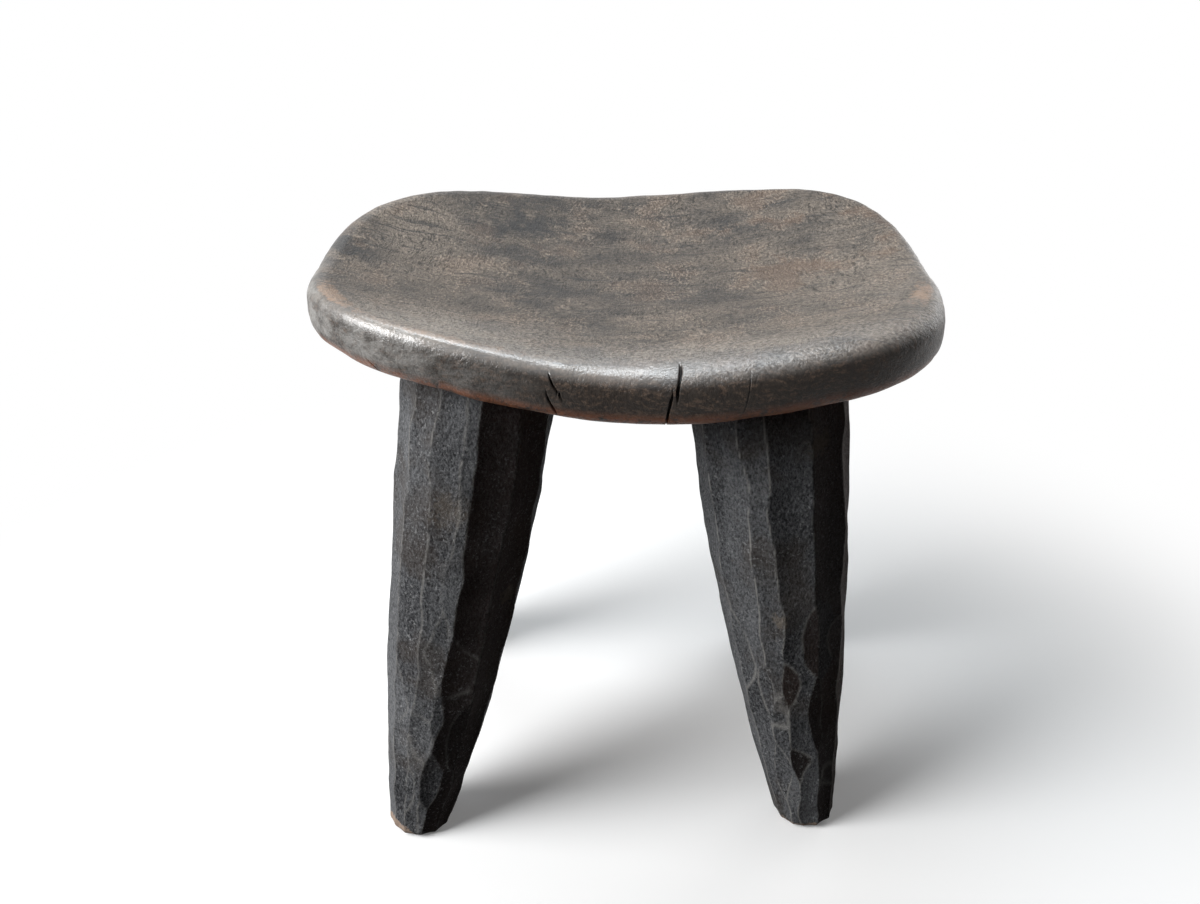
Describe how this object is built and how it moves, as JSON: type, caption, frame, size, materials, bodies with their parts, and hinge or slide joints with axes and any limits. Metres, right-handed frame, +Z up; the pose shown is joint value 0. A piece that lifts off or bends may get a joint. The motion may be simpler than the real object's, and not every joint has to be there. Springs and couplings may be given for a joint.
{
  "type": "carved wooden stool",
  "caption": "Low carved stool with a dished, round-cornered slab seat on stout, splayed, tapering legs with long adze facets.",
  "frame": {"origin": "centre of the seat's bounding box, on the floor that the feet stand on", "axes": "+Z up, +X along the seat's long side to the right as pictured, -Y towards the front"},
  "size_m": [0.356, 0.2888, 0.3494],
  "materials": {
    "seat_wood": "dark brown hardwood, worn satin by use, with drying cracks",
    "leg_wood": "smoke-blackened hardwood, matt, left from the adze"
  },
  "bodies": {
    "root": {"seat": "seat_wood", "leg_front_left": "leg_wood", "leg_front_right": "leg_wood", "leg_rear_left": "leg_wood", "leg_rear_right": "leg_wood"}
  },
  "joints": []
}
